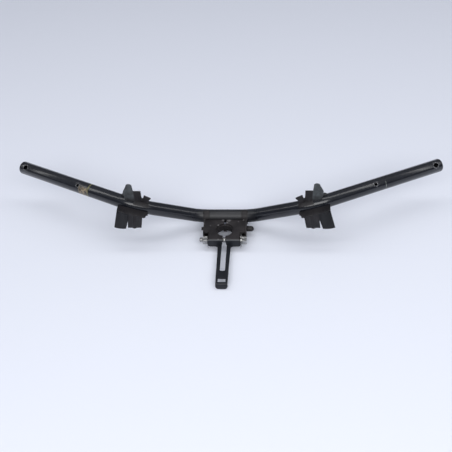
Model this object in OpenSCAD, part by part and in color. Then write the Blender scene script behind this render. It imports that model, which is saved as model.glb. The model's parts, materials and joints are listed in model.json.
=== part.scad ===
/* [Handlebar tube] */
// Outer diameter of the tube
tube_d = 22; // [19:0.2:26]
// Wall of the tube
tube_wall = 2; // [1.2:0.1:3]
// Centreline radius of all four bends
bend_r = 55; // [40:1:60]
// Distance from the middle to the corner of the inner bend
centre_half = 42; // [38:1:50]
// Distance from the middle to the corner of the outer bend
riser_half = 141; // [130:1:150]
// How far the outer corner stands above the centre of the tube
riser_up = 58; // [30:1:65]
// How far the outer corner stands in front of the centre of the tube
riser_forward = 40; // [20:1:50]
// Half of the whole width between the middles of the open ends
end_half = 356; // [330:1:380]
// How far each end sweeps back from the outer corner
end_sweep = 110.5; // [80:0.5:130]
// How far each end drops from the outer corner
end_drop = 7; // [0:1:25]

/* [Drillings in the tube] */
// Diameter of the bar end screw hole
end_hole_d = 8; // [4:0.5:10]
// Distance of the bar end screw hole from the end
end_hole_in = 9; // [6:0.5:20]
// Diameter of the switch locating hole
switch_hole_d = 5; // [3:0.5:7]
// Distance of the switch locating hole from the end
switch_hole_in = 127; // [110:1:150]
// Lean of the drillings from straight up towards the front
drill_lean = 40; // [0:1:80]

/* [Steering clamp] */
// Bore that grips the steering stem
bore_d = 25.4; // [22:0.2:26]
// Wall of the open collar between the plates
collar_wall = 3.5; // [2.5:0.25:4]
// Opening in the front of the collar, behind the pinch bolt
collar_slit = 14; // [12:0.5:16]
// Width of the locating key in the lower plate
key_w = 5; // [3:0.5:7]
// How far the key stands in from the edge of the plate hole
key_in = 3.4; // [2:0.2:4]
// Distance from the stem to the tube, centre to centre
bar_back = 37; // [36:0.5:42]
// Depth of the tube centre below the face of the top plate
bar_below = 3; // [1:0.5:6]

/* [Clamp stamping] */
// Thickness of the pressed steel
sheet = 2.5; // [2:0.1:3]
// Height from the underside of the tongue to the top plate face
clamp_h = 15.5; // [15.5:0.5:20]
// Outer radius of the folds
fold_r = 4; // [3:0.25:5]
// Hole in the top plate and in the lower plate
plate_hole_d = 29; // [27:0.5:31]
// Width of the top plate beside the stem
plate_w = 66; // [60:1:72]
// Width of the nose that the pinch bolt crosses
nose_w = 54; // [48:1:58]
// Gap between the rear edge of the plates and the tube
rear_gap = 1.4; // [0.5:0.1:4]
// Width of the rear slit
rear_slit = 3.3; // [2:0.1:4]
// Width of the front slit where it leaves the hole
front_slit = 6.5; // [4:0.1:7]
// Width of the front slit at the fold
fold_slit = 3; // [2:0.1:4]
// Radius of the lower corners of the front wall
wall_corner_r = 4; // [2:0.5:6]

/* [Tongue] */
// Width of the tongue at its root
tongue_root_w = 21.2; // [18:0.2:24]
// Width of the tongue at its foot
tongue_tip_w = 18.8; // [16:0.2:20]
// Reach of the tongue in front of the stem
tongue_reach = 109; // [100:1:120]
// Concave corner between the front wall and the tongue
root_r = 5; // [3:0.5:7]
// Width of the long slot
slot_w = 8.2; // [7:0.1:9]
// End of the long slot, in front of the stem
slot_end = 80; // [60:1:86]
// Corner radius of the long slot
slot_r = 2.5; // [1:0.1:3.4]
// Width of the window
window_w = 12.2; // [9:0.2:13]
// Length of the window
window_l = 8; // [5:0.5:9]
// Metal left between the window and the foot
window_gap = 2.8; // [2.8:0.1:4]
// Height of the foot that is folded down
foot_h = 11; // [10:0.5:20]
// Corner radius of the foot
foot_r = 5.5; // [3:0.5:7]

/* [Clamp cheeks] */
// Length of each saddle along the tube
saddle_l = 10; // [8:0.5:14]
// How far the saddle reaches inside the cheek
saddle_in = 6; // [2:0.5:7]

/* [Pinch bolt] */
// Thread diameter
bolt_d = 8; // [6:1:8]
// Width across the flats of the bolt head and of the nut
bolt_af = 13; // [11:0.5:13]
// Height of the bolt head
head_h = 8; // [5:0.5:9]
// Height of the nut
nut_h = 8; // [6:0.5:9]
// Thread that stands out of the nut
bolt_spare = 5; // [2:0.5:8]
// Outside diameter of the washer
washer_d = 22; // [20:0.5:24]
// Thickness of the washer
washer_t = 1.6; // [1:0.1:2]
// Clearance around the bolt in its holes
bolt_play = 0.4; // [0.3:0.05:0.4]
// Clearance from the bolt to the stem and to the folded walls
bolt_gap = 0.45; // [0.45:0.05:0.8]
// Clearance from the washer to the wide part of the plates
washer_gap = 0.5; // [0.2:0.1:1]

/* [Cable peg and stop] */
// Diameter of the cable peg on the right cheek
peg_d = 9; // [6:0.5:10]
// Length of the cable peg
peg_l = 12; // [8:0.5:16]
// Distance of the peg and of the stop behind the stem
peg_y = 14; // [8:0.5:16]
// Depth of the peg and of the stop below the top plate face
peg_below = 11; // [8:0.5:12]
// Length of the stop on the left cheek
stop_l = 4.5; // [3:0.5:8]
// Width of the stop
stop_w = 6; // [4:0.5:8]

/* [Side brackets] */
// Thickness of the side brackets
bracket_sheet = 2.5; // [2:0.1:3]
// How far the shelf stands in front of the tube centre
shelf_forward = 28; // [22:0.5:32]
// Height of the shelf face above the tube centre
shelf_up = 1; // [0:0.5:3]
// Radius of the rounded front of the shelf
shelf_r = 31; // [30:0.5:34]
// Angle above level at which the upper lip ends on the front of the tube
lip_angle = 42; // [30:1:60]
// Part of the outer bend that the upper lip covers, in degrees
lip_bend = 30; // [24:1:40]
// Height of the lug above the tube centre
lug_up = 44; // [38:0.5:50]
// Width of the lug at its base
lug_w = 15; // [12:0.5:20]
// Width of the lug at its rounded top
lug_top_w = 7; // [5:0.5:10]
// Length of the taper towards the top of the lug
lug_taper = 15; // [8:0.5:20]
// Height of the square tab above the tube centre
step_up = 30; // [20:0.5:34]
// Width of the square tab
step_w = 12; // [8:0.5:14]
// How far the front of the lug and of the square tab stands forward
lug_forward = 4; // [2:0.5:6]
// Drop of the ribbed tab below the tube centre
tab_down = 26; // [20:0.5:40]
// Width of the ribbed tab
tab_w = 22; // [16:0.5:24]
// Height of the rib in the tab
rib_in = 1.2; // [0.6:0.2:3]
// Outer radius of the rib
rib_r = 6; // [4:0.5:8]
// Drop of the slanted tab below the tube centre
leg_down = 29; // [22:0.5:45]
// Width of the slanted tab
leg_w = 20; // [14:0.5:22]
// How far the slanted tab runs outwards
leg_out = 8; // [0:0.5:12]
// Turn of the slanted tab to the side, in degrees
leg_turn = 43; // [30:1:55]
// Length of the small stop tab
nib_w = 12; // [8:0.5:14]
// How far the small stop tab stands off the bracket
nib_up = 5; // [3:0.5:8]
// Part of the outer bend left bare at its outer end, in degrees
bare_bend = 4; // [3:0.5:8]

/* [Welds] */
// Radius of the weld beads
weld_r = 2; // [1:0.1:3]

/* [Hidden] */
$fn = 64;
e = 0.5;

tube_r = tube_d / 2;
bore_r = bore_d / 2;
swell = 0.05;
lap = 0.5;
weld_gap = 0.06;

tongue_z = -clamp_h / 2;
top_z = clamp_h / 2;
collar_h = clamp_h - 2 * sheet;
bar_z = top_z - bar_below;
bolt_y = -(bore_r + bolt_gap + bolt_d / 2);
front_in = bolt_y - bolt_d / 2 - bolt_gap;
front_y = front_in - sheet;
bolt_z = top_z - sheet - bolt_gap - bolt_d / 2;
collar_open = acos(bore_r / (bore_r + collar_wall)) + 6;
cheek_x = plate_w / 2;
nose_x = nose_w / 2;
shoulder_y = -bolt_y - washer_d / 2 - washer_gap;
plate_back = bar_back - tube_r - rear_gap;

function unit(v) = v / norm(v);
function bend_of(a, b) = acos(unit(a) * unit(b));
function turn_of(a, b, axis) = atan2(cross(a, b) * axis, a * b);
function neat(v) = round(v * 100) / 100;

riser = [riser_half, -riser_forward, riser_up];
grip_end = riser + [end_half - riser_half, end_sweep, -end_drop];
dir0 = [1, 0, 0];
dir1 = unit(riser - [centre_half, 0, 0]);
dir2 = unit(grip_end - riser);
bend1 = bend_of(dir0, dir1);
bend2 = bend_of(dir1, dir2);
axis1 = unit(cross(dir0, dir1));
axis2 = unit(cross(dir1, dir2));
side1 = cross(axis1, dir0);
side2 = cross(axis2, dir1);
roll1 = atan2(side1[2], side1[1]);
roll2 = turn_of(cross(axis1, dir1), side2, dir1);
run0 = neat(centre_half - bend_r * tan(bend1 / 2));
run1 = neat(norm(riser - [centre_half, 0, 0]) - bend_r * (tan(bend1 / 2) + tan(bend2 / 2)));
run2 = neat(norm(grip_end - riser) - bend_r * tan(bend2 / 2));

mid_out = unit(-side2 * cos(bend2 / 2) + dir1 * sin(bend2 / 2));
mid_point = riser - mid_out * bend_r * (1 / cos(bend2 / 2) - 1);
up_angle = atan2(axis2[2], mid_out[2]);
front_angle = atan2(-axis2[1], -mid_out[1]);
front_turn = (front_angle - up_angle + 540) % 360 - 180;
front_is_left = front_turn > 0 ? 1 : 0;
mid_dir = unit(dir1 + dir2);
shelf_rise = mid_dir[2] / mid_dir[0];
riser_slope = atan2(dir1[2], dir1[0]);
upright_y = bracket_sheet - lug_forward;
lug_at = [6, upright_y, 0];
step_at = [lug_at[0] - lug_w / 2 - step_w / 2 + e, upright_y, 0];
nib_at = [step_at[0] - step_w / 2 - e, upright_y, tube_r - e];
shelf_edge = -shelf_forward + e;
tab_from = -tab_w / 2 - 3;

// Frames along the tube
module at_bar() translate([0, bar_back, bar_z]) children();
module past_bend(angle) translate([bend_r, 0, 0]) rotate([0, angle, 0]) translate([-bend_r, 0, 0]) children();
module from_middle() rotate([roll1, 0, 0]) rotate([0, 90, 0]) rotate([0, 0, 90]) children();
module at_riser() from_middle() translate([0, 0, run0]) past_bend(bend1) rotate([0, 0, roll2]) children();
module at_outer_bend() at_riser() translate([0, 0, run1]) children();
module at_grip() at_outer_bend() past_bend(bend2) children();
module both() {
    children();
    mirror([1, 0, 0]) children();
}

// Handlebar tube
module swept_bend(angle, over = 0) translate([bend_r, 0, 0]) rotate([0, 0, 180]) rotate([90, 0, 0])
    rotate([0, 0, -over]) rotate_extrude(angle = angle + 2 * over) translate([bend_r, 0]) children();
module half_rod(r, extra) {
    from_middle() {
        cylinder(h = run0, r = r);
        translate([0, 0, run0]) swept_bend(bend1, lap) circle(r + swell);
    }
    at_riser() cylinder(h = run1, r = r);
    at_outer_bend() swept_bend(bend2, lap) circle(r + swell);
    at_grip() cylinder(h = run2 + extra, r = r);
}
module bar_rod(r, extra = 0) at_bar() both() half_rod(r, extra);
module drilling(inset, d) at_bar() translate(grip_end - dir2 * inset) rotate([drill_lean, 0, 0])
    cylinder(h = tube_d, d = d);
module handlebar_tube() color([0.15, 0.165, 0.2]) difference() {
    bar_rod(tube_r);
    bar_rod(tube_r - tube_wall, 2);
    both() {
        drilling(end_hole_in, end_hole_d);
        drilling(switch_hole_in, switch_hole_d);
    }
}

// Clamp stamping
module arch(w, h, r) {
    translate([-w / 2, -h]) square([w, h - r]);
    translate([-w / 2 + r, -h]) square([w - 2 * r, h]);
    for (s = [-1, 1]) translate([s * (w / 2 - r), -r]) circle(r);
}
module corner_cut(r) difference() {
    translate([-e, -e]) square(r + e);
    translate([r, r]) circle(r);
}
module nose_block(inside, back, below) intersection() {
    translate([0, back - shoulder_y, top_z - inside]) rotate([90, 0, 0])
        linear_extrude(back - shoulder_y - front_y + e) arch(nose_w - 2 * inside, clamp_h - inside + below, fold_r - inside);
    translate([-nose_w, 0, top_z - inside]) rotate([90, 0, 90])
        linear_extrude(2 * nose_w) arch(-2 * (front_y + inside), clamp_h - inside + below, fold_r - inside);
}
module nose() difference() {
    nose_block(0, 0, 0);
    nose_block(sheet, e, e);
    for (s = [-1, 1]) {
        translate([s * (nose_x + e), bolt_y, bolt_z]) rotate([0, -s * 90, 0])
            cylinder(h = fold_r + 2 * e, d = bolt_d + 2 * bolt_play);
        mirror([s > 0 ? 1 : 0, 0, 0]) translate([-nose_x, front_in, tongue_z]) rotate([90, 0, 0])
            linear_extrude(sheet + e) corner_cut(wall_corner_r);
    }
}
module tongue_outline() {
    polygon([[-tongue_root_w / 2, front_in], [tongue_root_w / 2, front_in],
        [tongue_tip_w / 2, -tongue_reach - e], [-tongue_tip_w / 2, -tongue_reach - e]]);
    difference() {
        translate([-tongue_root_w / 2 - root_r, front_y - root_r])
            square([tongue_root_w + 2 * root_r, root_r + sheet]);
        for (s = [-1, 1]) translate([s * (tongue_root_w / 2 + root_r), front_y - root_r]) circle(root_r);
    }
}
module tongue_section() difference() {
    arch(2 * tongue_reach, foot_h, fold_r);
    translate([0, -sheet]) arch(2 * (tongue_reach - sheet), foot_h, fold_r - sheet);
}
module tongue() difference() {
    intersection() {
        translate([0, 0, tongue_z - foot_h]) linear_extrude(foot_h + sheet) tongue_outline();
        translate([-nose_w, 0, tongue_z + sheet]) rotate([90, 0, 90]) linear_extrude(2 * nose_w) tongue_section();
    }
    for (s = [0, 1]) mirror([s, 0, 0])
        translate([-tongue_tip_w / 2, -tongue_reach + sheet + e, tongue_z + sheet - foot_h]) rotate([90, 0, 0])
            linear_extrude(sheet + 2 * e) corner_cut(foot_r);
}
module slot_outline() {
    l = slot_end + front_in;
    translate([0, front_in + e / 2 - (l + e) / 2]) {
        square([slot_w - 2 * slot_r, l + e], center = true);
        translate([0, slot_r / 2]) square([slot_w, l + e - slot_r], center = true);
        translate([0, -slot_r / 2]) square([slot_w - 2 * slot_r, l + e - slot_r], center = true);
        for (s = [-1, 1]) translate([s * (slot_w / 2 - slot_r), slot_r - (l + e) / 2]) circle(slot_r);
    }
}
module clamp_slits() {
    translate([-rear_slit / 2, 0, top_z - sheet - e]) cube([rear_slit, plate_back + e, sheet + 2 * e]);
    translate([0, 0, top_z - fold_r]) linear_extrude(fold_r + e)
        polygon([[-front_slit / 2, 0], [front_slit / 2, 0], [fold_slit / 2, front_y - e], [-fold_slit / 2, front_y - e]]);
    translate([0, front_in + e, 0]) rotate([90, 0, 0]) linear_extrude(sheet + 2 * e)
        polygon([[-fold_slit / 2, top_z + e], [fold_slit / 2, top_z + e],
            [slot_w / 2, tongue_z - e], [-slot_w / 2, tongue_z - e]]);
}
module clamp_stamping() color([0.2, 0.19, 0.2]) difference() {
    union() {
        translate([-cheek_x, -shoulder_y, top_z - sheet]) cube([plate_w, shoulder_y + plate_back, sheet]);
        nose();
        tongue();
    }
    translate([0, 0, top_z - sheet - e]) cylinder(h = sheet + 2 * e, d = plate_hole_d);
    clamp_slits();
    translate([0, 0, tongue_z - e]) linear_extrude(sheet + 2 * e) slot_outline();
    translate([-window_w / 2, -tongue_reach + sheet + window_gap, tongue_z - e])
        cube([window_w, window_l, sheet + 2 * e]);
}

// Lower plate and the collar between the plates
module clamp_lower_plate() color([0.17, 0.165, 0.18]) difference() {
    translate([0, 0, tongue_z]) linear_extrude(sheet) {
        translate([-cheek_x, -shoulder_y]) square([plate_w, shoulder_y + plate_back]);
        translate([-nose_x + sheet, front_in]) square([nose_w - 2 * sheet, -front_in]);
    }
    difference() {
        translate([0, 0, tongue_z - e]) cylinder(h = sheet + 2 * e, d = plate_hole_d);
        translate([-key_w / 2, plate_hole_d / 2 - key_in, tongue_z - 2 * e])
            cube([key_w, plate_hole_d, sheet + 4 * e]);
    }
    translate([-slot_w / 2, front_in - e, tongue_z - e]) cube([slot_w, -front_in + e, sheet + 2 * e]);
}
module clamp_collar() color([0.16, 0.16, 0.175]) difference() {
    translate([0, 0, -collar_h / 2]) cylinder(h = collar_h, r = bore_r + collar_wall);
    translate([0, 0, -collar_h / 2 - e]) cylinder(h = collar_h + 2 * e, r = bore_r);
    translate([-collar_slit / 2, -bore_r - collar_wall - e, -collar_h / 2 - e])
        cube([collar_slit, bore_r + collar_wall, collar_h + 2 * e]);
    translate([-bore_d, -bore_r - bore_d, -collar_h / 2 - e]) cube([2 * bore_d, bore_d, collar_h + 2 * e]);
}

// Cheeks that carry the tube
module cheek_side() {
    polygon([[-shoulder_y, tongue_z], [-shoulder_y, top_z], [plate_back, top_z],
        [bar_back, bar_z + tube_r + sheet], [bar_back, bar_z - tube_r - sheet]]);
    saddle_side();
}
module saddle_side() translate([bar_back, bar_z]) intersection() {
    circle(tube_r + sheet);
    translate([-2 * tube_d, -tube_d]) square([2 * tube_d, 2 * tube_d]);
}
module right_cheek_shape() difference() {
    rotate([90, 0, 90]) {
        translate([0, 0, cheek_x]) linear_extrude(sheet) cheek_side();
        translate([0, 0, cheek_x - saddle_in]) linear_extrude(saddle_l) saddle_side();
    }
    translate([cheek_x - saddle_in - e, 0, top_z - sheet]) cube([saddle_in + e, plate_back, sheet + e]);
    bar_rod(tube_r);
}
module right_clamp_cheek() color([0.18, 0.175, 0.19]) right_cheek_shape();
module left_clamp_cheek() color([0.18, 0.175, 0.19]) mirror([1, 0, 0]) right_cheek_shape();

// Pinch bolt, washer and nut
module along_bolt(x) translate([x, bolt_y, bolt_z]) rotate([0, 90, 0]) children();
module hex(h) cylinder(h = h, d = bolt_af / cos(30), $fn = 6);
module pinch_bolt() color([0.62, 0.62, 0.6]) {
    along_bolt(-nose_x - nut_h - bolt_spare) cylinder(h = nose_w + nut_h + bolt_spare + washer_t + e, d = bolt_d);
    along_bolt(nose_x + washer_t) intersection() {
        hex(head_h);
        cylinder(h = head_h, d1 = bolt_af / cos(30) + 2 * head_h - 1, d2 = bolt_af / cos(30) - 1);
    }
}
module pinch_washer() color([0.6, 0.6, 0.58]) along_bolt(nose_x) difference() {
    cylinder(h = washer_t, d = washer_d);
    translate([0, 0, -e]) cylinder(h = washer_t + 2 * e, d = bolt_d);
}
module pinch_nut() color([0.58, 0.58, 0.56]) along_bolt(-nose_x - nut_h) difference() {
    hex(nut_h);
    translate([0, 0, -e]) cylinder(h = nut_h + 2 * e, d = bolt_d);
}

// Cable peg and stop on the cheeks
module cable_peg() color([0.14, 0.14, 0.15])
    translate([cheek_x + sheet, peg_y, top_z - peg_below]) rotate([0, 90, 0])
        rotate_extrude() intersection() {
            union() {
                square([peg_d / 2, peg_l - peg_d / 2]);
                translate([0, peg_l - peg_d / 2]) circle(peg_d / 2);
            }
            square([peg_d, peg_l]);
        }
module left_stop() color([0.14, 0.14, 0.15])
    translate([-cheek_x - sheet, peg_y, top_z - peg_below]) rotate([0, -90, 0])
        linear_extrude(stop_l) square([sheet, stop_w], center = true);

// Side brackets
module bracket_section_frame() rotate([0, 0, up_angle - 90]) mirror([front_is_left, 0, 0]) children();
module bracket_sweep(angle) at_outer_bend() swept_bend(angle) bracket_section_frame() children();
module wrap_section() difference() {
    circle(tube_r + bracket_sheet);
    square(tube_d);
}
module lip_section() intersection() {
    difference() {
        circle(tube_r + bracket_sheet);
        circle(tube_r / 2);
    }
    polygon([[0, 0], [tube_d * cos(lip_angle), tube_d * sin(lip_angle)], [0, 2 * tube_d]]);
}
module shelf() intersection() {
    bracket_sweep(bend2 - bare_bend) translate([0, shelf_up - bracket_sheet]) square([shelf_forward, bracket_sheet]);
    translate(mid_point - [0, 0, tube_d]) cylinder(h = 2 * tube_d, r = shelf_r);
}
module upright(place) translate(mid_point + place) rotate([90, 0, 0]) linear_extrude(bracket_sheet) children();
module lug_outline() {
    r = lug_top_w / 2;
    polygon([[-lug_w / 2, tube_r], [lug_w / 2, tube_r], [lug_w / 2, lug_up - lug_taper],
        [r, lug_up - r], [-r, lug_up - r], [-lug_w / 2, lug_up - lug_taper]]);
    translate([0, lug_up - r]) circle(r);
}
module below_shelf() translate(mid_point + [0, 0, shelf_up - bracket_sheet / 2])
    rotate([0, -atan(shelf_rise), 0]) translate([-2 * shelf_r, -2 * shelf_r, -4 * shelf_r])
        cube([4 * shelf_r, 2 * shelf_r, 4 * shelf_r]);
module ribbed_tab() translate(mid_point + [tab_from, shelf_edge, -tab_down])
    linear_extrude(tab_down + tube_r) difference() {
        union() {
            square([tab_w, bracket_sheet]);
            translate([tab_w / 2, rib_r - rib_in]) circle(rib_r);
        }
        translate([tab_w / 2, rib_r - rib_in]) circle(rib_r - bracket_sheet);
        translate([-e, bracket_sheet]) square([tab_w + 2 * e, 2 * rib_r]);
    }
module slanted_leg() translate(mid_point + [tab_from + tab_w, shelf_edge + bracket_sheet, 0])
    rotate([0, 0, leg_turn]) rotate([90, 0, 0]) linear_extrude(bracket_sheet) intersection() {
        polygon([[0, tube_r], [leg_w, tube_r], [leg_w + leg_out, -leg_down], [leg_out, -leg_down]]);
        translate([leg_w / 2 + leg_out, 2 * leg_w - leg_down]) circle(2 * leg_w);
    }
module right_bracket_shape() at_bar() difference() {
    union() {
        bracket_sweep(bend2 - bare_bend) wrap_section();
        bracket_sweep(lip_bend) lip_section();
        shelf();
        upright(lug_at) lug_outline();
        upright(step_at) translate([-step_w / 2, tube_r]) square([step_w, step_up - tube_r]);
        upright(nib_at) rotate([0, 0, riser_slope]) translate([-nib_w, 0])
            square([nib_w, bracket_sheet + nib_up]);
        intersection() {
            union() {
                ribbed_tab();
                slanted_leg();
            }
            below_shelf();
        }
    }
    half_rod(tube_r, 0);
}
module right_bracket() color([0.22, 0.22, 0.24]) right_bracket_shape();
module left_bracket() color([0.22, 0.22, 0.24]) mirror([1, 0, 0]) right_bracket_shape();

// Welds
module collar_weld() color([0.13, 0.13, 0.14]) translate([0, 0, -collar_h / 2])
    rotate([0, 0, -90 + collar_open]) rotate_extrude(angle = 360 - 2 * collar_open)
        translate([bore_r + collar_wall, 0]) intersection() {
            circle(weld_r);
            square(2 * weld_r);
        }
module cheek_bead() difference() {
    for (s = [-1, 1]) translate([cheek_x - saddle_in, bar_back, bar_z + s * tube_r]) rotate([0, 90, 0]) intersection() {
        cylinder(h = saddle_l, r = weld_r);
        translate([-weld_r, 0, -e]) cube([2 * weld_r, weld_r, saddle_l + 2 * e]);
    }
    bar_rod(tube_r);
}
module right_cheek_weld() color([0.13, 0.13, 0.14]) cheek_bead();
module left_cheek_weld() color([0.13, 0.13, 0.14]) mirror([1, 0, 0]) cheek_bead();
module bracket_bead() at_bar() at_outer_bend() past_bend(bend2 - bare_bend) mirror([1, 0, 0])
    bracket_section_frame() rotate([0, 0, 100]) rotate_extrude(angle = 160)
        translate([tube_r + swell + weld_gap, 0]) intersection() {
            circle(weld_r);
            square(2 * weld_r);
        }
module right_bracket_weld() color([0.13, 0.13, 0.14]) bracket_bead();
module left_bracket_weld() color([0.13, 0.13, 0.14]) mirror([1, 0, 0]) bracket_bead();

handlebar_tube();
clamp_stamping();
clamp_lower_plate();
clamp_collar();
left_clamp_cheek();
right_clamp_cheek();
pinch_bolt();
pinch_washer();
pinch_nut();
cable_peg();
left_stop();
left_bracket();
right_bracket();
collar_weld();
left_cheek_weld();
right_cheek_weld();
left_bracket_weld();
right_bracket_weld();
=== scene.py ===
import bpy
import json
import math
from mathutils import Matrix, Vector, noise


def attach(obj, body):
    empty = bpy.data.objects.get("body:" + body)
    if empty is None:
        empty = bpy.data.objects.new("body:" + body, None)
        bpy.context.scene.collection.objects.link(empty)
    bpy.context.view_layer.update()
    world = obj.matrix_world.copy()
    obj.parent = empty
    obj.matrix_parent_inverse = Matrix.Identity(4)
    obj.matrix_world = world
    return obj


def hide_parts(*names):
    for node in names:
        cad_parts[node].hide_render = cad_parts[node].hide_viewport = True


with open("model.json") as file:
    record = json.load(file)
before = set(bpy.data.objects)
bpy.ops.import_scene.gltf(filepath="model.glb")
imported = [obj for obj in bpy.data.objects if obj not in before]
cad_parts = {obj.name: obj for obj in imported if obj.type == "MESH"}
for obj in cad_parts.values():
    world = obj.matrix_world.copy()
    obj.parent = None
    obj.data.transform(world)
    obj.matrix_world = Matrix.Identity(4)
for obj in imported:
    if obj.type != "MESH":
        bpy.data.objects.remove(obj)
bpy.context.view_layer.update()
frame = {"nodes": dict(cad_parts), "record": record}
mm = 0.001
xAxis, yAxis, zAxis = (1, 0, 0), (0, 1, 0), (0, 0, 1)
tubeRadius = 11 * mm
mergeDistance = 0.01 * mm
drillLean = math.radians(40.0)
drillWay = Vector((0, -math.sin(drillLean), math.cos(drillLean)))
slots = {part["node"]: part["material_slot"] for part in frame["record"]["subparts"]}
print("frame loaded:", len(frame["nodes"]), "nodes")


def mirrored(vector, side=-1):
    return Vector((side * vector.x, vector.y, vector.z))


# Shader helpers
def addNode(tree, kind, **settings):
    node = tree.nodes.new(kind)
    for name, value in settings.items():
        setattr(node, name, value)
    return node


def setInputs(node, **values):
    for name, value in values.items():
        node.inputs[name.replace("_", " ")].default_value = value


def join(tree, source, target):
    tree.links.new(source, target)


def mathNode(tree, operation, first, second=None, clamp=False):
    node = addNode(tree, "ShaderNodeMath", operation=operation, use_clamp=clamp)
    for slot, value in enumerate((first, second)):
        if value is None:
            continue
        if isinstance(value, (int, float)):
            node.inputs[slot].default_value = value
        else:
            join(tree, value, node.inputs[slot])
    return node.outputs[0]


def times(tree, first, *others):
    for other in others:
        first = mathNode(tree, "MULTIPLY", first, other)
    return first


def vectorNode(tree, operation, first, second):
    node = addNode(tree, "ShaderNodeVectorMath", operation=operation)
    for slot, value in enumerate((first, second)):
        if isinstance(value, (tuple, Vector)):
            node.inputs[slot].default_value = value
        else:
            join(tree, value, node.inputs[slot])
    return node.outputs["Value" if operation in ("DOT_PRODUCT", "DISTANCE") else "Vector"]


def component(tree, vector, direction):
    return vectorNode(tree, "DOT_PRODUCT", vector, direction)


def ramp(tree, value, low, high, toLow=0.0, toHigh=1.0):
    node = addNode(tree, "ShaderNodeMapRange", interpolation_type="SMOOTHSTEP")
    setInputs(node, From_Min=low, From_Max=high, To_Min=toLow, To_Max=toHigh)
    join(tree, value, node.inputs["Value"])
    return node.outputs["Result"]


def noiseNode(tree, vector, scale, detail=3.0, roughness=0.6):
    node = addNode(tree, "ShaderNodeTexNoise")
    setInputs(node, Detail=detail, Roughness=roughness)
    if isinstance(scale, float):
        node.inputs["Scale"].default_value = scale
    else:
        join(tree, scale, node.inputs["Scale"])
    join(tree, vector, node.inputs["Vector"])
    return node.outputs["Fac"]


def mixColour(tree, factor, first, second):
    node = addNode(tree, "ShaderNodeMix", data_type="RGBA", blend_type="MIX")
    for name, kind, value in (("Factor", "VALUE", factor), ("A", "RGBA", first), ("B", "RGBA", second)):
        socket = [s for s in node.inputs if s.name == name and s.type == kind][0]
        if isinstance(value, (int, float)):
            socket.default_value = value
        elif isinstance(value, tuple):
            socket.default_value = (*value, 1.0)
        else:
            join(tree, value, socket)
    return [s for s in node.outputs if s.type == "RGBA"][0]


def newGroup(name, inputs, outputs):
    group = bpy.data.node_groups.new(name, "ShaderNodeTree")
    for label, kind, value in inputs:
        socket = group.interface.new_socket(name=label, in_out="INPUT", socket_type=kind)
        if value is not None:
            socket.default_value = value
    for label, kind in outputs:
        group.interface.new_socket(name=label, in_out="OUTPUT", socket_type=kind)
    return group, addNode(group, "NodeGroupInput"), addNode(group, "NodeGroupOutput")


# Each noise as scale, detail and roughness; each fade as the values it runs between and those it gives
grain = {"wear": (420.0, 5.0, 0.65), "specks": (1500.0, 2.0, 0.7), "peel": (700.0, 1.0), "ragged": (900.0, 4.0)}
fade = {"patches": (0.42, 0.62), "worn": (0.03, 0.12), "upward": (-0.3, 1.0, 0.25, 1.0), "clouds": (0.35, 0.7),
    "specks": (0.6, 0.72), "tone": (0.3, 0.7), "ragged": (0.3, 0.7, -0.5, 0.5), "spotEdge": (0.75, 1.0, 1.0, 0.0)}
cloudShare, speckShare = 0.6, 0.7


# Edge wear: the rounded normal differs from the true one along an edge
def makeEdgeWear():
    group, given, result = newGroup("edgeWear",
        [("Width", "NodeSocketFloat", 0.0012), ("Amount", "NodeSocketFloat", 0.5), ("Vector", "NodeSocketVector", None)],
        [("Mask", "NodeSocketFloat")])
    bevel = addNode(group, "ShaderNodeBevel", samples=6)
    join(group, given.outputs["Width"], bevel.inputs["Radius"])
    geometry = addNode(group, "ShaderNodeNewGeometry")
    same = component(group, bevel.outputs["Normal"], geometry.outputs["Normal"])
    bend = mathNode(group, "SUBTRACT", 1.0, same, clamp=True)
    patches = ramp(group, noiseNode(group, given.outputs["Vector"], *grain["wear"]), *fade["patches"])
    worn = ramp(group, times(group, bend, patches), *fade["worn"])
    join(group, times(group, worn, given.outputs["Amount"]), result.inputs["Mask"])
    return group


# Dust: soft clouds and fine specks, thicker on faces that look up
def makeDust():
    group, given, result = newGroup("dust",
        [("Scale", "NodeSocketFloat", 60.0), ("Amount", "NodeSocketFloat", 0.5), ("Vector", "NodeSocketVector", None)],
        [("Mask", "NodeSocketFloat")])
    geometry = addNode(group, "ShaderNodeNewGeometry")
    upward = ramp(group, component(group, geometry.outputs["Normal"], zAxis), *fade["upward"])
    clouds = ramp(group, noiseNode(group, given.outputs["Vector"], given.outputs["Scale"], 6.0), *fade["clouds"])
    specks = ramp(group, noiseNode(group, given.outputs["Vector"], *grain["specks"]), *fade["specks"])
    cloud = times(group, clouds, times(group, upward, cloudShare))
    speck = times(group, times(group, specks, upward), speckShare)
    both = mathNode(group, "ADD", cloud, speck, clamp=True)
    join(group, times(group, both, given.outputs["Amount"]), result.inputs["Mask"])
    return group


# Enamel: slow tone changes and the orange peel of sprayed paint
def makeEnamel():
    group, given, result = newGroup("enamel",
        [("Deep", "NodeSocketColor", (0.02, 0.02, 0.03, 1)), ("Pale", "NodeSocketColor", (0.04, 0.04, 0.05, 1)),
         ("Scale", "NodeSocketFloat", 25.0), ("Vector", "NodeSocketVector", None)],
        [("Colour", "NodeSocketColor"), ("Height", "NodeSocketFloat")])
    tone = ramp(group, noiseNode(group, given.outputs["Vector"], given.outputs["Scale"], 4.0, 0.55), *fade["tone"])
    join(group, mixColour(group, tone, given.outputs["Deep"], given.outputs["Pale"]), result.inputs["Colour"])
    join(group, noiseNode(group, given.outputs["Vector"], *grain["peel"]), result.inputs["Height"])
    return group


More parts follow.
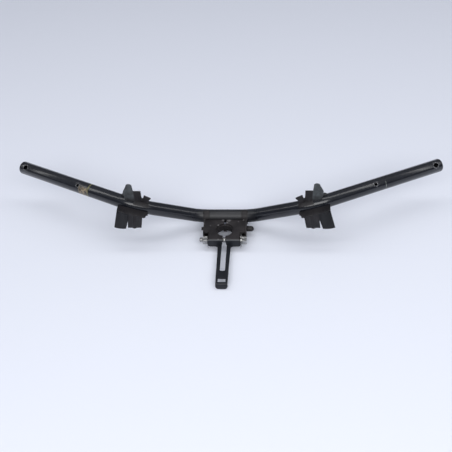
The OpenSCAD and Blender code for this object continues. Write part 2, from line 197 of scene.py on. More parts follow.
# Spot: a ragged mark round one point of the surface
def makeSpot():
    group, given, result = newGroup("spot",
        [("Centre", "NodeSocketVector", (0, 0, 0)), ("Size", "NodeSocketFloat", 0.003),
         ("Vector", "NodeSocketVector", None)],
        [("Mask", "NodeSocketFloat")])
    away = vectorNode(group, "DISTANCE", given.outputs["Vector"], given.outputs["Centre"])
    share = mathNode(group, "DIVIDE", away, given.outputs["Size"])
    stray = ramp(group, noiseNode(group, given.outputs["Vector"], *grain["ragged"]), *fade["ragged"])
    join(group, ramp(group, mathNode(group, "ADD", share, stray), *fade["spotEdge"]), result.inputs["Mask"])
    return group


# Band: how far along the bar a point lies, and how squarely it faces a given way
def makeBand():
    group, given, result = newGroup("band",
        [("Start", "NodeSocketVector", (0, 0, 0)), ("Along", "NodeSocketVector", (1, 0, 0)),
         ("Facing", "NodeSocketVector", (0, 0, 1)), ("Vector", "NodeSocketVector", None)],
        [("Distance", "NodeSocketFloat"), ("Square", "NodeSocketFloat")])
    offset = vectorNode(group, "SUBTRACT", given.outputs["Vector"], given.outputs["Start"])
    join(group, component(group, offset, given.outputs["Along"]), result.inputs["Distance"])
    facing = component(group, offset, given.outputs["Facing"])
    join(group, mathNode(group, "DIVIDE", facing, tubeRadius), result.inputs["Square"])
    return group


edgeWear, dust, enamel, spot, band = makeEdgeWear(), makeDust(), makeEnamel(), makeSpot(), makeBand()


def placeGroup(tree, group, vector, **values):
    node = addNode(tree, "ShaderNodeGroup", node_tree=group)
    setInputs(node, **values)
    join(tree, vector, node.inputs["Vector"])
    return node


paint = {"dirt": (0.0, 0.6), "dirtRough": 0.3, "peelDepth": 0.2 * mm, "coatRough": 0.15}


def makePaint(name, look, addMarks=None):
    material = bpy.data.materials.new(name)
    material.use_nodes = True
    tree = material.node_tree
    shader = tree.nodes["Principled BSDF"]
    place = addNode(tree, "ShaderNodeTexCoord").outputs["Object"]
    base = placeGroup(tree, enamel, place, Deep=(*look["deep"], 1), Pale=(*look["pale"], 1), Scale=look["toneScale"])
    dirt = placeGroup(tree, dust, place, Scale=look["dustScale"], Amount=look["dustAmount"])
    worn = placeGroup(tree, edgeWear, place, Width=look["wearWidth"], Amount=look["wearAmount"])
    colour = mixColour(tree, dirt.outputs["Mask"], base.outputs["Colour"], look["dustColour"])
    colour = mixColour(tree, worn.outputs["Mask"], colour, look["bareColour"])
    rough = ramp(tree, dirt.outputs["Mask"], *paint["dirt"], look["gloss"], look["gloss"] + paint["dirtRough"])
    if addMarks:
        colour, rough = addMarks(tree, place, colour, rough)
    join(tree, colour, shader.inputs["Base Color"])
    join(tree, rough, shader.inputs["Roughness"])
    bump = addNode(tree, "ShaderNodeBump")
    setInputs(bump, Strength=look["peel"], Distance=paint["peelDepth"])
    join(tree, base.outputs["Height"], bump.inputs["Height"])
    join(tree, bump.outputs["Normal"], shader.inputs["Normal"])
    setInputs(shader, Coat_Weight=look["coat"], Coat_Roughness=paint["coatRough"], Metallic=look["metal"],
        Specular_IOR_Level=look["shine"])
    return material


# Marks that the photograph shows on the tube: residue and ring of an old grip, a scratch, chipped holes, a dull middle
tubeMarks = {"switchHole": Vector((243.08, 49.46, 59.43)) * mm, "endHole": Vector((348.0, 103.39, 56.01)) * mm,
    "alongRight": Vector((0.8891, 0.4570, -0.0290)), "facing": Vector((0.42, -0.82, -0.32)).normalized(),
    "leftPart": (-100 * mm, -50 * mm, 1.0, 0.0), "rightPart": (50 * mm, 100 * mm)}
dullForm = {"range": (26 * mm, 60 * mm, 1.0, 0.0), "share": 0.5, "rough": 0.3, "colour": (0.011, 0.0102, 0.0115)}
residueForm = {"from": (5 * mm, 10 * mm), "to": (25 * mm, 27 * mm, 1.0, 0.0), "front": (0.05, 0.6),
    "grain": (260.0, 5.0, 0.6), "smear": (0.36, 0.6), "share": 0.9, "rough": 0.35, "colour": (0.27, 0.215, 0.14)}
ringForm = {"from": (24 * mm, 25.5 * mm), "to": (26.5 * mm, 28 * mm, 1.0, 0.0), "grain": (500.0, 4.0),
    "broken": (0.38, 0.55), "share": 0.75, "colour": (0.2, 0.185, 0.07)}
scratchForm = {"at": 14.5 * mm, "width": (0.2 * mm, 0.7 * mm, 1.0, 0.0), "front": (0.1, 0.5), "grain": (700.0, 3.0),
    "broken": (0.4, 0.5), "colour": (0.2, 0.22, 0.2)}
chipForm = {"sizes": (("switchHole", 4.0 * mm), ("endHole", 5.6 * mm)), "grain": (650.0, 3.0), "broken": (0.45, 0.55),
    "share": 0.7, "colour": (0.36, 0.36, 0.37)}


def brokenUp(tree, place, form, key="broken"):
    return ramp(tree, noiseNode(tree, place, *form["grain"]), *form[key])


def dullMiddle(tree, place, colour, rough):
    fromMiddle = mathNode(tree, "ABSOLUTE", component(tree, place, xAxis))
    dull = ramp(tree, fromMiddle, *dullForm["range"])
    colour = mixColour(tree, times(tree, dull, dullForm["share"]), colour, dullForm["colour"])
    return colour, mathNode(tree, "ADD", rough, times(tree, dull, dullForm["rough"]), clamp=True)


def oldGrip(tree, place, colour, rough):
    leftBand = placeGroup(tree, band, place, Start=mirrored(tubeMarks["switchHole"]),
        Along=-mirrored(tubeMarks["alongRight"]), Facing=mirrored(tubeMarks["facing"]))
    distance = leftBand.outputs["Distance"]
    leftSide = ramp(tree, component(tree, place, xAxis), *tubeMarks["leftPart"])
    within = times(tree, ramp(tree, distance, *residueForm["from"]), ramp(tree, distance, *residueForm["to"]))
    low = ramp(tree, leftBand.outputs["Square"], *residueForm["front"])
    residue = times(tree, within, low, brokenUp(tree, place, residueForm, "smear"), leftSide)
    colour = mixColour(tree, times(tree, residue, residueForm["share"]), colour, residueForm["colour"])
    within = times(tree, ramp(tree, distance, *ringForm["from"]), ramp(tree, distance, *ringForm["to"]))
    ring = times(tree, within, leftSide, brokenUp(tree, place, ringForm))
    colour = mixColour(tree, times(tree, ring, ringForm["share"]), colour, ringForm["colour"])
    either = mathNode(tree, "MAXIMUM", residue, ring)
    return colour, mathNode(tree, "ADD", rough, times(tree, either, residueForm["rough"]))


def rightScratch(tree, place, colour):
    rightBand = placeGroup(tree, band, place, Start=tubeMarks["switchHole"], Along=tubeMarks["alongRight"],
        Facing=tubeMarks["facing"])
    offset = mathNode(tree, "SUBTRACT", rightBand.outputs["Distance"], scratchForm["at"])
    width = ramp(tree, mathNode(tree, "ABSOLUTE", offset), *scratchForm["width"])
    front = ramp(tree, rightBand.outputs["Square"], *scratchForm["front"])
    rightSide = ramp(tree, component(tree, place, xAxis), *tubeMarks["rightPart"])
    line = times(tree, width, front, rightSide, brokenUp(tree, place, scratchForm))
    return mixColour(tree, line, colour, scratchForm["colour"])


def chippedHoles(tree, place, colour):
    for hole, size in chipForm["sizes"]:
        for side in (-1, 1):
            centre = mirrored(tubeMarks[hole], side) + drillWay * tubeRadius
            chip = placeGroup(tree, spot, place, Centre=centre, Size=size)
            share = times(tree, chip.outputs["Mask"], brokenUp(tree, place, chipForm), chipForm["share"])
            colour = mixColour(tree, share, colour, chipForm["colour"])
    return colour


def addTubeMarks(tree, place, colour, rough):
    colour, rough = dullMiddle(tree, place, colour, rough)
    colour, rough = oldGrip(tree, place, colour, rough)
    return chippedHoles(tree, place, rightScratch(tree, place, colour)), rough


# Painted shade: the front wall and the tongue are darker, bluer and smoother than the dusty plates
frontShade = {"range": (-24 * mm, -22.5 * mm, 1.0, 0.0), "share": 0.85, "smoother": 0.1,
    "colour": (0.0085, 0.0105, 0.0145)}

# Painted highlight: the bright line along the fold from the top plate to the front wall
foldHighlight = {"front": (-24.05 * mm, -23.7 * mm), "back": (-22.9 * mm, -22.3 * mm, 1.0, 0.0),
    "low": (4.5 * mm, 5.2 * mm), "colour": (0.105, 0.11, 0.115), "share": 0.55}

# Bare spots on the clamp: lips of the rear slit and a few chips round the bore
clampSpots = {"spots": ((-3.6, 23.2, 2.2), (6.5, 22.4, 3.2), (3.4, 17.0, 1.8), (-10.8, 10.8, 1.6), (-9.5, -23.0, 1.5),
    (30.5, 23.5, 1.6), (22.0, 19.5, 1.0), (-24.0, 9.5, 0.9)), "height": 7.75, "strength": 0.55,
    "colour": (0.2, 0.195, 0.2)}


def addClampMarks(tree, place, colour, rough):
    depth = component(tree, place, yAxis)
    # Painted shade on the front wall and the tongue
    front = ramp(tree, depth, *frontShade["range"])
    colour = mixColour(tree, times(tree, front, frontShade["share"]), colour, frontShade["colour"])
    rough = mathNode(tree, "SUBTRACT", rough, times(tree, front, frontShade["smoother"]))
    # Painted highlight along the fold
    low = ramp(tree, component(tree, place, zAxis), *foldHighlight["low"])
    fold = times(tree, ramp(tree, depth, *foldHighlight["front"]), ramp(tree, depth, *foldHighlight["back"]), low)
    colour = mixColour(tree, times(tree, fold, foldHighlight["share"]), colour, foldHighlight["colour"])
    for x, y, size in clampSpots["spots"]:
        centre = Vector((x, y, clampSpots["height"])) * mm
        mark = placeGroup(tree, spot, place, Centre=centre, Size=size * mm)
        share = times(tree, mark.outputs["Mask"], clampSpots["strength"])
        colour = mixColour(tree, share, colour, clampSpots["colour"])
    return colour, rough


# The upright lug of each side bracket is painted paler and mottled
lugPale = {"height": (66 * mm, 84 * mm), "outwards": (139.4 * mm, 140.4 * mm), "grain": (150.0, 5.0, 0.65),
    "mottle": (0.3, 0.7, 0.35, 1.0), "colour": (0.088, 0.1, 0.106), "strength": 0.75}

# Painted shade: the slanted leg of each side bracket is darkened where it lies in shade
legShade = {"lean": 0.24, "beyond": (162.2 * mm, 163.0 * mm), "rise": 0.264, "below": (19.0 * mm, 20.2 * mm, 1.0, 0.0),
    "share": 0.85, "colour": (0.0035, 0.004, 0.0055)}


def addBracketMarks(tree, place, colour, rough):
    sideways = mathNode(tree, "ABSOLUTE", component(tree, place, xAxis))
    height = component(tree, place, zAxis)
    # Painted shade on the slanted leg
    leaning = mathNode(tree, "ADD", sideways, times(tree, height, legShade["lean"]))
    hanging = mathNode(tree, "SUBTRACT", height, times(tree, sideways, legShade["rise"]))
    beyond, under = ramp(tree, leaning, *legShade["beyond"]), ramp(tree, hanging, *legShade["below"])
    colour = mixColour(tree, times(tree, beyond, under, legShade["share"]), colour, legShade["colour"])
    # Paler, mottled colour on the upright lug
    upper, outer = ramp(tree, height, *lugPale["height"]), ramp(tree, sideways, *lugPale["outwards"])
    share = times(tree, upper, brokenUp(tree, place, lugPale, "mottle"), times(tree, outer, lugPale["strength"]))
    return mixColour(tree, share, colour, lugPale["colour"]), rough


looks = {
    "tube_paint": {"deep": (0.0028, 0.0036, 0.0062), "pale": (0.0052, 0.0065, 0.0105), "toneScale": 30.0,
        "dustScale": 90.0, "dustAmount": 0.05, "dustColour": (0.11, 0.115, 0.12), "wearWidth": 0.0008,
        "wearAmount": 0.6, "bareColour": (0.3, 0.3, 0.3), "gloss": 0.22,
        "peel": 0.02, "coat": 0.0, "metal": 0.0, "shine": 0.6},
    "bracket_paint": {"deep": (0.0105, 0.0095, 0.0105), "pale": (0.018, 0.0158, 0.0172), "toneScale": 45.0,
        "dustScale": 70.0, "dustAmount": 0.14, "dustColour": (0.11, 0.1, 0.1), "wearWidth": 0.0008,
        "wearAmount": 0.3, "bareColour": (0.22, 0.22, 0.22), "gloss": 0.5,
        "peel": 0.12, "coat": 0.0, "metal": 0.0, "shine": 0.26},
    "side_paint": {"deep": (0.0095, 0.0088, 0.0105), "pale": (0.0165, 0.015, 0.0165), "toneScale": 45.0,
        "dustScale": 70.0, "dustAmount": 0.08, "dustColour": (0.11, 0.11, 0.11), "wearWidth": 0.0008,
        "wearAmount": 0.25, "bareColour": (0.2, 0.2, 0.2), "gloss": 0.5,
        "peel": 0.12, "coat": 0.0, "metal": 0.0, "shine": 0.22},
    "weld_paint": {"deep": (0.012, 0.012, 0.013), "pale": (0.024, 0.022, 0.022), "toneScale": 120.0,
        "dustScale": 90.0, "dustAmount": 0.2, "dustColour": (0.1, 0.09, 0.08), "wearWidth": 0.0005,
        "wearAmount": 0.2, "bareColour": (0.15, 0.14, 0.13), "gloss": 0.42,
        "peel": 0.2, "coat": 0.0, "metal": 0.0, "shine": 0.35},
    "zinc": {"deep": (0.2, 0.2, 0.2), "pale": (0.44, 0.44, 0.43), "toneScale": 150.0,
        "dustScale": 200.0, "dustAmount": 0.45, "dustColour": (0.07, 0.066, 0.06), "wearWidth": 0.0005,
        "wearAmount": 0.3, "bareColour": (0.6, 0.6, 0.58), "gloss": 0.24,
        "peel": 0.2, "coat": 0.0, "metal": 1.0, "shine": 0.5},
}
marks = {"tube_paint": addTubeMarks, "bracket_paint": addClampMarks, "side_paint": addBracketMarks}
materials = {name: makePaint(name, look, marks.get(name)) for name, look in looks.items()}
for name, node in frame["nodes"].items():
    node.data.materials.clear()
    node.data.materials.append(materials[slots[name]])
print("materials made:", len(materials))


# Modelling helpers
def only(piece):
    bpy.ops.object.select_all(action="DESELECT")
    piece.select_set(True)
    bpy.context.view_layer.objects.active = piece


def setMode(mode):
    bpy.ops.object.mode_set(mode=mode)


def addObject(name, data):
    piece = bpy.data.objects.new(name, data)
    bpy.context.scene.collection.objects.link(piece)
    return piece


def mergeClose(distance=mergeDistance):
    bpy.ops.mesh.select_all(action="SELECT")
    bpy.ops.mesh.remove_doubles(threshold=distance)


def joinPieces(main, *others):
    only(main)
    for other in others:
        other.select_set(True)
    bpy.ops.object.join()


def applyModifier(piece, kind, **settings):
    only(piece)
    modifier = piece.modifiers.new(kind.lower(), kind)
    for name, value in settings.items():
        setattr(modifier, name, value)
    bpy.ops.object.modifier_apply(modifier=modifier.name)


def roundEdges(piece, width, angle=35.0, clamp=False):
    applyModifier(piece, "BEVEL", width=width, segments=2, limit_method="ANGLE",
        angle_limit=math.radians(angle), use_clamp_overlap=clamp, harden_normals=False)


def settle(piece):
    only(piece)
    bpy.ops.object.transform_apply(location=True, rotation=True, scale=True)


def finishPiece(piece, *nodes, angle=32.0):
    settle(piece)
    bpy.ops.object.shade_smooth_by_angle(angle=math.radians(angle))
    piece.data.materials.clear()
    piece.data.materials.append(materials[slots[nodes[0]]])
    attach(piece, "root")
    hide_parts(*nodes)


# The tube's path from the middle of the bar outwards, with its holes
tubeForm = {"wall": 2 * mm, "bend": 55 * mm, "sides": 72, "bendSteps": 12, "rim": 0.45 * mm, "rimAngle": 55.0,
    "path": [Vector(point) * mm for point in ((0, 37, 4.75), (42, 37, 4.75), (141, -3, 62.75), (356, 107.5, 55.75))],
    "holes": ((9 * mm, 4 * mm), (127 * mm, 2.5 * mm)), "discInset": 2.5 * mm, "discDepth": 2 * mm,
    "discRadius": 9.2 * mm}


# A copy of a CAD node with its loose triangles merged and its edges rounded
def dressCopy(node, width, reshape=None):
    piece = addObject(node + "_rounded", frame["nodes"][node].data.copy())
    only(piece)
    setMode("EDIT")
    mergeClose()
    bpy.ops.mesh.dissolve_limited(angle_limit=math.radians(0.6))
    setMode("OBJECT")
    if reshape:
        reshape(piece, 1 if node.startswith("right") else -1)
        setMode("EDIT")
        mergeClose(bracketForm["merge"])
        setMode("OBJECT")
    roundEdges(piece, width, clamp=reshape is not None)
    finishPiece(piece, node)
    return piece


# The brackets follow the photograph more closely than the CAD, in sizes from the middle of the outer bend:
# shorter shelf, leg turned to the front, leaning tab, raised nib and fuller lug
bracketForm = {"setBack": 3.5 * mm, "inFront": (-12 * mm, -19 * mm), "setBackEnds": (8 * mm, 24 * mm),
    "shelfTop": 12 * mm, "rise": 0.264, "inner": -14 * mm, "innerShare": 0.5, "nibFrom": 10 * mm, "outer": 22 * mm,
    "outerShare": 0.5, "outerFront": (-4 * mm, -10 * mm), "merge": 0.4 * mm}
legForm = {"root": Vector((8, -25)) * mm, "top": 11 * mm, "slant": 0.2, "behindTab": 0.3 * mm, "turn": 43.0,
    "newTurn": 9.0, "sheet": 2.5 * mm, "width": 20 * mm, "slack": 0.3 * mm, "topRange": (-10 * mm, 2 * mm),
    "innerShift": 4.5 * mm, "outerShift": 3.5 * mm, "longer": 1.13}
tabForm = {"behind": -24 * mm, "from": -6 * mm, "lean": 0.2, "longer": 1.1, "front": -27.5 * mm, "back": -25 * mm,
    "ribBack": -26.4 * mm, "deeper": 1.5}
nibForm = {"before": -16 * mm, "over": 10 * mm, "raise": 4.5 * mm}
lugForm = {"middle": 6 * mm, "inner": -1.2 * mm, "from": 27 * mm, "wide": 1.1, "wider": 0.26,
    "widerRange": (29 * mm, 37 * mm), "outwards": 0.9 * mm, "inwards": 2.5 * mm, "topRange": (29 * mm, 42 * mm)}


def smooth(value, low, high):
    share = max(0.0, min(1.0, (value - low) / (high - low)))
    return share * share * (3 - 2 * share)


def outerWays():
    path = tubeForm["path"]
    return (path[2] - path[1]).normalized(), (path[3] - path[2]).normalized()


def bracketMiddle():
    way, onward = outerWays()
    outwards = (way - onward).normalized()
    return tubeForm["path"][2] - outwards * tubeForm["bend"] * (1 / math.cos(way.angle(onward) / 2) - 1)


# The slanted leg: a point in its sheet before and after the turn, or None for a point that isn't in it
def turnLeg(x, y, z):
    before, after = (math.radians(legForm[key]) for key in ("turn", "newTurn"))
    root, width, slack = legForm["root"], legForm["width"], legForm["slack"]
    along = (x - root.x) * math.cos(before) + (y - root.y) * math.sin(before)
    across = (y - root.y) * math.cos(before) - (x - root.x) * math.sin(before)
    edge = legForm["slant"] * (legForm["top"] - z)
    inSheet = -legForm["sheet"] - slack < across < slack and edge - slack < along < edge + width + slack
    if not inSheet or z > bracketForm["rise"] * x + 2 * slack:
        return None
    top = smooth(z, *legForm["topRange"])
    along -= top * (legForm["innerShift"] * (1 - along / width) + legForm["outerShift"] * along / width)
    newX = root.x + along * math.cos(after) - across * math.sin(after)
    newY = root.y + bracketForm["setBack"] + legForm["behindTab"] + along * math.sin(after) + across * math.cos(after)
    newZ = z * legForm["longer"] if z < 0 else z
    return newX, newY, newZ + bracketForm["rise"] * (newX - x) * top


def pressShelf(x, y, z, slopes):
    if y < tabForm["behind"] and z < tabForm["from"]:
        face = tabForm["front"] if y < tabForm["ribBack"] else tabForm["back"]
        y = face + (y - face) * tabForm["deeper"] + bracketForm["setBack"]
        below = tabForm["from"] - z
        return x + tabForm["lean"] * below, y, tabForm["from"] - below * tabForm["longer"]
    share = smooth(y, *bracketForm["inFront"]) if z < bracketForm["shelfTop"] else 0.0
    y += bracketForm["setBack"] * share * (1 - smooth(x, *bracketForm["setBackEnds"]))
    root, after = legForm["root"], math.radians(legForm["newTurn"])
    if x > root.x and z < bracketForm["shelfTop"]:
        y = max(y, root.y + bracketForm["setBack"] - legForm["sheet"] + (x - root.x) * math.tan(after))
    if x > bracketForm["outer"]:
        front = smooth(y, *bracketForm["outerFront"])
        x -= (x - bracketForm["outer"]) * (1 - bracketForm["outerShare"]) * front
    if x < bracketForm["inner"] and z < bracketForm["nibFrom"]:
        back = (bracketForm["inner"] - x) * (1 - bracketForm["innerShare"])
        x, y, z = x + back, y + back * slopes[0], z + back * slopes[1]
    if x < nibForm["before"] and nibForm["over"] < z:
        z += nibForm["raise"]
    return x, y, z


def reshapeBracket(piece, side):
    middle = bracketMiddle()
    way = tubeForm["path"][2] - tubeForm["path"][1]
    slopes = (way.y / way.x, way.z / way.x)
    for vertex in piece.data.vertices:
        x, y, z = side * vertex.co.x - middle.x, vertex.co.y - middle.y, vertex.co.z - middle.z
        x, y, z = turnLeg(x, y, z) or pressShelf(x, y, z, slopes)
        if z > lugForm["from"] and x > lugForm["inner"]:
            wider = lugForm["wide"] + lugForm["wider"] * smooth(z, *lugForm["widerRange"])
            shift = lugForm["outwards"] - lugForm["inwards"] * smooth(z, *lugForm["topRange"])
            x = lugForm["middle"] + shift + (x - lugForm["middle"]) * wider
        vertex.co = Vector((side * (x + middle.x), y + middle.y, z + middle.z))


# How far the edges of each pressed or turned piece are rounded
roundings = {"clamp_stamping": 0.45 * mm, "clamp_lower_plate": 0.4 * mm, "clamp_collar": 0.4 * mm,
    "left_clamp_cheek": 0.4 * mm, "right_clamp_cheek": 0.4 * mm, "left_bracket": 0.35 * mm, "right_bracket": 0.35 * mm,
    "pinch_washer": 0.3 * mm, "pinch_nut": 0.5 * mm, "cable_peg": 0.4 * mm, "left_stop": 0.4 * mm}
for name, width in roundings.items():
    piece = dressCopy(name, width, reshapeBracket if name.endswith("_bracket") else None)
    print("rounded", name, len(piece.data.polygons), "faces")


# Handlebar tube, swept through its bends from the middle outwards
def ringMiddle(piece):
    setMode("OBJECT")
    chosen = [piece.matrix_world @ v.co for v in piece.data.vertices if v.select]
    setMode("EDIT")
    return sum(chosen, Vector()) / len(chosen)


def sweepTube():
    path, bend = tubeForm["path"], tubeForm["bend"]
    bpy.ops.object.select_all(action="DESELECT")
    bpy.ops.mesh.primitive_circle_add(vertices=tubeForm["sides"], radius=tubeRadius, location=path[0],
        rotation=(0, math.pi / 2, 0), enter_editmode=True)
    tube = bpy.context.object
    tube.name = "handlebar_tube_swept"
    reached = path[0]
    for corner, following in zip(path[1:], path[2:] + [None]):
        way = (corner - reached).normalized()
        if following is None:
            bpy.ops.mesh.extrude_region_move(TRANSFORM_OT_translate={"value": corner - reached})
            break
        onward = (following - corner).normalized()
        angle = way.angle(onward)
        cut = bend * math.tan(angle / 2)
        bpy.ops.mesh.extrude_region_move(TRANSFORM_OT_translate={"value": corner - way * cut - reached})
        axis = way.cross(onward).normalized()
        centre = corner - way * cut + axis.cross(way) * bend
        # Spin turns the other way, so its angle is negative
        bpy.ops.mesh.spin(steps=tubeForm["bendSteps"], angle=-angle, center=centre, axis=axis)
        reached = corner + onward * cut
        if (ringMiddle(tube) - reached).length > 1 * mm:
            print("bend went the wrong way", ringMiddle(tube), reached)
    setMode("OBJECT")
    return tube


# The bar end screw holes and the switch locating holes, drilled from the front and above
def drillHoles(tube, end, along):
    for inset, radius in tubeForm["holes"]:
        for side in (-1, 1):
            centre = mirrored(end - along * inset, side) + drillWay * tubeRadius
            bpy.ops.object.select_all(action="DESELECT")
            bpy.ops.mesh.primitive_cylinder_add(vertices=32, radius=radius, depth=tubeRadius, location=centre,
                rotation=(drillLean, 0, 0))
            drill = bpy.context.object
            applyModifier(tube, "BOOLEAN", operation="DIFFERENCE", object=drill, solver="EXACT")
            bpy.data.objects.remove(drill)


# The end holes are dark, so a disc closes the bore inside each end: painted shade that stands in for the shade inside
# the open tube
def shadeBore(tube, end, along):
    for side in (-1, 1):
        turn = mirrored(along, side).to_track_quat("Z", "Y").to_euler()
        bpy.ops.object.select_all(action="DESELECT")
        bpy.ops.mesh.primitive_cylinder_add(vertices=48, radius=tubeForm["discRadius"], depth=tubeForm["discDepth"],
            location=mirrored(end - along * tubeForm["discInset"], side), rotation=turn)
        joinPieces(tube, bpy.context.object)


def makeTube():
    tube = sweepTube()
    settle(tube)
    applyModifier(tube, "MIRROR", use_axis=(True, False, False), use_mirror_merge=True, merge_threshold=mergeDistance)
    setMode("EDIT")
    mergeClose()
    bpy.ops.mesh.normals_make_consistent(inside=False)
    setMode("OBJECT")
    applyModifier(tube, "SOLIDIFY", thickness=tubeForm["wall"], offset=-1.0, use_even_offset=True)
    end, along = tubeForm["path"][3], outerWays()[1]
    drillHoles(tube, end, along)
    # Discs of painted shade inside the bar ends
    shadeBore(tube, end, along)
    roundEdges(tube, tubeForm["rim"], tubeForm["rimAngle"])
    finishPiece(tube, "handlebar_tube")
    return tube


print("tube made:", len(makeTube().data.polygons), "faces")

# Welds, each a bead with the ripples of its pool
beadForm = {"radius": 1.9 * mm, "sides": 12, "pitch": 1.7 * mm, "swell": 0.16, "crest": 0.7, "step": 0.42 * mm,
    "uneven": 0.25 * mm, "grain": 300, "sunk": 0.12 * mm, "endInset": 0.6, "smoothAngle": 60.0}


def closeEnds():
    bpy.ops.mesh.select_all(action="SELECT")
    bpy.ops.mesh.fill_holes(sides=0)
    bpy.ops.mesh.select_all(action="SELECT")
    bpy.ops.mesh.normals_make_consistent(inside=False)


def rippleBead(piece, middleOf, seed):
    grain = beadForm["grain"]
    for vertex in piece.data.vertices:
        middle, run = middleOf(vertex.co)
        wave = (run / beadForm["pitch"]) % 1.0
        stray = noise.noise(Vector((run * grain, vertex.co.z * grain, seed))) * beadForm["uneven"]
        away = vertex.co - middle
        grow = beadForm["swell"] * (wave - beadForm["crest"])
        vertex.co = middle + away * (1 + grow) + away.normalized() * (stray - beadForm["sunk"])


# The span of angles that a CAD weld covers round its axis
def arcSpan(node, centre, axis, zero):
    side = axis.cross(zero)
    offsets = [vertex.co - centre for vertex in frame["nodes"][node].data.vertices]
    angles = sorted(math.atan2(offset.dot(side), offset.dot(zero)) for offset in offsets)
    gaps = [(second - first, second) for first, second in zip(angles, angles[1:] + [angles[0] + 2 * math.pi])]
    widest, start = max(gaps)
    return start, 2 * math.pi - widest


def makeArcBead(node, centre, axis, radius, seed):
    zero = axis.cross(Vector(zAxis if abs(axis.z) < 0.9 else xAxis)).normalized()
    start, span = arcSpan(node, centre, axis, zero)
    first = Matrix.Rotation(start, 3, axis) @ zero
    inset = beadForm["radius"] / radius * beadForm["endInset"]
    ringPlace = centre + (Matrix.Rotation(start + inset, 3, axis) @ zero) * radius
    outward = Matrix.Rotation(inset, 3, axis) @ first
    turn = Matrix((outward, axis, outward.cross(axis))).transposed()
    bpy.ops.object.select_all(action="DESELECT")
    bpy.ops.mesh.primitive_circle_add(vertices=beadForm["sides"], radius=beadForm["radius"], location=ringPlace,
        rotation=turn.to_euler(), enter_editmode=True)
    bead = bpy.context.object
    bead.name = node + "_bead"
    steps = int(radius * (span - 2 * inset) / beadForm["step"])
    bpy.ops.mesh.spin(steps=steps, angle=2 * inset - span, center=centre, axis=axis)
    closeEnds()
    setMode("OBJECT")
    settle(bead)
    side = axis.cross(zero)

    def middleOf(point):
        offset = point - centre
        flat = (offset - axis * offset.dot(axis)).normalized()
        return centre + flat * radius, (math.atan2(flat.dot(side), flat.dot(zero)) + 7) * radius  # 7 keeps it above 0

    rippleBead(bead, middleOf, seed)
    finishPiece(bead, node, angle=beadForm["smoothAngle"])


bracketBead = {"beforeEnd": 4.0, "over": 0.35 * mm}
collarBead = {"height": -5.0 * mm, "radius": 16.35 * mm, "seed": 5}


# Where the outer bend ends, and which way the tube runs there
def bracketBeadPlace():
    bend, (way, onward) = tubeForm["bend"], outerWays()
    angle, axis = way.angle(onward), way.cross(onward).normalized()
    start = tubeForm["path"][2] - way * bend * math.tan(angle / 2)
    pivot = start + axis.cross(way) * bend
    turn = Matrix.Rotation(angle - math.radians(bracketBead["beforeEnd"]), 3, axis)
    return pivot + turn @ (start - pivot), turn @ way


beadCentre, beadAxis = bracketBeadPlace()
for seed, (node, side) in enumerate((("right_bracket_weld", 1), ("left_bracket_weld", -1))):
    makeArcBead(node, mirrored(beadCentre, side), mirrored(beadAxis, side), tubeRadius + bracketBead["over"], seed)
makeArcBead("collar_weld", Vector((0, 0, collarBead["height"])), Vector(zAxis), collarBead["radius"], collarBead["seed"])
print("arc beads made")

saddleForm = {"from": 27.5 * mm, "to": 36.6 * mm, "y": 37.4 * mm, "z": 4.75 * mm, "up": 11.2 * mm, "slimmer": 0.85}


def makeSaddleBead(node, side):
    halves = []
    for up in (-1, 1):
        ringPlace = Vector((side * saddleForm["from"], saddleForm["y"], saddleForm["z"] + up * saddleForm["up"]))
        bpy.ops.object.select_all(action="DESELECT")
        bpy.ops.mesh.primitive_circle_add(vertices=beadForm["sides"], radius=beadForm["radius"] * saddleForm["slimmer"],
            location=ringPlace, rotation=(0, math.pi / 2, 0), enter_editmode=True)
        half = bpy.context.object
        length = saddleForm["to"] - saddleForm["from"]
        steps = int(length / beadForm["step"])
        for _ in range(steps):
            bpy.ops.mesh.extrude_region_move(TRANSFORM_OT_translate={"value": (side * length / steps, 0, 0)})
        closeEnds()
        setMode("OBJECT")
        settle(half)
        rippleBead(half, lambda point: (Vector((point.x, ringPlace.y, ringPlace.z)), abs(point.x)), up + 3)
        halves.append(half)
    joinPieces(*halves)
    halves[0].name = node + "_bead"
    finishPiece(halves[0], node, angle=beadForm["smoothAngle"])


makeSaddleBead("right_cheek_weld", 1)
makeSaddleBead("left_cheek_weld", -1)
print("saddle beads made")

# Pinch bolt: the CAD head and shank, with a rolled thread at its far end
boltForm = {"y": -17.15 * mm, "z": 0.85 * mm, "radius": 4 * mm, "root": 3.45 * mm, "pitch": 1.25 * mm, "end": -40 * mm,
    "threadTo": -17 * mm, "runOut": 0.6 * mm, "play": 0.05 * mm, "flanks": (0.75, 1.25), "endInset": 0.3 * mm,
    "sides": 40, "rim": 0.35 * mm, "rimAngle": 40.0}


# The thread's profile, turned round the bolt and carried along it
def makeThread():
    half, crest = boltForm["pitch"] / 2, boltForm["radius"] - boltForm["play"]
    first, last = (half * share for share in boltForm["flanks"])
    profile = [(0, boltForm["root"]), (first, crest), (last, crest), (half * 2, boltForm["root"])]
    mesh = bpy.data.meshes.new("thread")
    mesh.from_pydata([(x, 0, r) for x, r in profile], [(0, 1), (1, 2), (2, 3)], [])
    thread = addObject("thread", mesh)
    turns = int((boltForm["threadTo"] - boltForm["end"]) / boltForm["pitch"]) - 1
    applyModifier(thread, "SCREW", axis="X", angle=2 * math.pi, screw_offset=boltForm["pitch"], iterations=turns,
        steps=boltForm["sides"], render_steps=boltForm["sides"], use_merge_vertices=True, merge_threshold=mergeDistance)
    thread.location = (boltForm["end"] + boltForm["endInset"], boltForm["y"], boltForm["z"])
    settle(thread)
    setMode("EDIT")
    mergeClose()
    bpy.ops.mesh.normals_make_consistent(inside=False)
    setMode("OBJECT")
    return thread


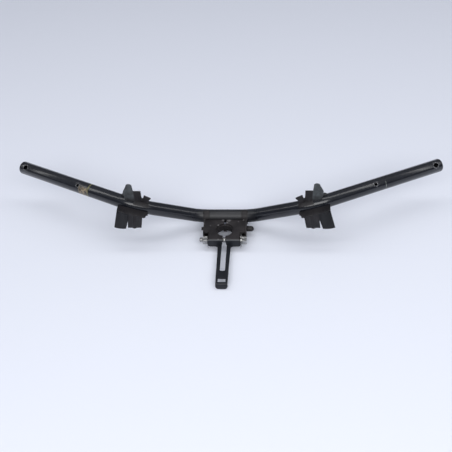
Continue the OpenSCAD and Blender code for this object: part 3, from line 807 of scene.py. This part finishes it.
def makeBolt():
    bolt = addObject("pinch_bolt_threaded", frame["nodes"]["pinch_bolt"].data.copy())
    only(bolt)
    setMode("EDIT")
    mergeClose()
    for cut in (boltForm["threadTo"], boltForm["threadTo"] - boltForm["runOut"]):
        bpy.ops.mesh.select_all(action="SELECT")
        bpy.ops.mesh.bisect(plane_co=(cut, 0, 0), plane_no=(1, 0, 0))
    bpy.ops.mesh.select_all(action="DESELECT")
    setMode("OBJECT")
    for vertex in bolt.data.vertices:
        vertex.select = vertex.co.x < boltForm["threadTo"] - boltForm["runOut"] / 2
    setMode("EDIT")
    bpy.ops.mesh.select_mode(type="VERT")
    share = (boltForm["root"] - boltForm["play"]) / boltForm["radius"]
    bpy.ops.transform.resize(value=(1, share, share), center_override=(0, boltForm["y"], boltForm["z"]))
    bpy.ops.mesh.select_all(action="DESELECT")
    setMode("OBJECT")
    roundEdges(bolt, boltForm["rim"], boltForm["rimAngle"])
    joinPieces(bolt, makeThread())
    finishPiece(bolt, "pinch_bolt")


makeBolt()
print("bolt made")

# Floor
floorLook = {"colour": (0.74, 0.767, 0.843), "rough": 0.8, "drop": 16.5 * mm, "size": 8.0}


def makeFloor():
    bpy.ops.object.select_all(action="DESELECT")
    bpy.ops.mesh.primitive_plane_add(size=floorLook["size"], location=(0, 0, -floorLook["drop"]))
    floor = bpy.context.object
    floor.name = "floor"
    floorPaint = bpy.data.materials.new("floorPaint")
    floorPaint.use_nodes = True
    setInputs(floorPaint.node_tree.nodes["Principled BSDF"], Base_Color=(*floorLook["colour"], 1),
        Roughness=floorLook["rough"])
    floor.data.materials.append(floorPaint)


makeFloor()

# Camera, worked out from the tube's place in the photograph
view = {"lens": 50.0, "distance": 1059 * mm, "elevation": 42.5, "azimuth": 5.47, "roll": -3.66,
    "across": 0.23 * mm, "upward": -17.0 * mm, "target": Vector((0, 37 * mm, 4.75 * mm)), "sensor": 36.0,
    "near": 0.01}


def viewAxes():
    elevation, azimuth, roll = (math.radians(view[key]) for key in ("elevation", "azimuth", "roll"))
    level = Vector((math.sin(azimuth), -math.cos(azimuth), 0))
    back = Vector((level.x * math.cos(elevation), level.y * math.cos(elevation), math.sin(elevation)))
    right = Vector((math.cos(azimuth), math.sin(azimuth), 0))
    up = back.cross(right)
    return right * math.cos(roll) + up * math.sin(roll), up * math.cos(roll) - right * math.sin(roll), back


def placeCamera():
    right, up, back = viewAxes()
    data = bpy.data.cameras.new("camera")
    data.lens = view["lens"]
    data.sensor_width = view["sensor"]
    data.clip_start = view["near"]
    camera = addObject("camera", data)
    stand = view["target"] + back * view["distance"] + right * view["across"] + up * view["upward"]
    turn = Matrix((right, up, back)).transposed().to_4x4()
    camera.matrix_world = Matrix.Translation(stand) @ turn
    bpy.context.scene.camera = camera


placeCamera()


# Lamps and world
def addLamp(name, stand, aim, size, power):
    data = bpy.data.lights.new(name, "AREA")
    data.shape = "RECTANGLE"
    data.size, data.size_y = size
    data.energy = power
    lamp = addObject(name, data)
    lamp.visible_camera = False
    turn = (Vector(stand) - Vector(aim)).to_track_quat("Z", "Y")
    lamp.matrix_world = Matrix.Translation(stand) @ turn.to_matrix().to_4x4()


addLamp("keyLamp", (0.17, -1.5, 1.42), (0, 0, 0), (2.6, 1.0), 36.0)
addLamp("topLamp", (0.0, 0.3, 2.6), (0, 0.3, 0), (11.0, 0.5), 64.0)

worldLook = {"camera": (0.63, 0.665, 0.76), "low": (0.12, 0.125, 0.145), "high": (0.31, 0.325, 0.37), "rise": (0.1, 0.7)}


# The camera sees a plain backdrop, and the object a sky that is darker near the horizon
def makeWorld():
    world = bpy.data.worlds.new("world")
    bpy.context.scene.world = world
    world.use_nodes = True
    tree = world.node_tree
    generated = addNode(tree, "ShaderNodeTexCoord").outputs["Generated"]
    height = ramp(tree, component(tree, generated, zAxis), *worldLook["rise"])
    sky = mixColour(tree, height, worldLook["low"], worldLook["high"])
    seen = addNode(tree, "ShaderNodeLightPath").outputs["Is Camera Ray"]
    join(tree, mixColour(tree, seen, sky, worldLook["camera"]), tree.nodes["Background"].inputs["Color"])


makeWorld()

bpy.context.scene.view_settings.view_transform = "Standard"
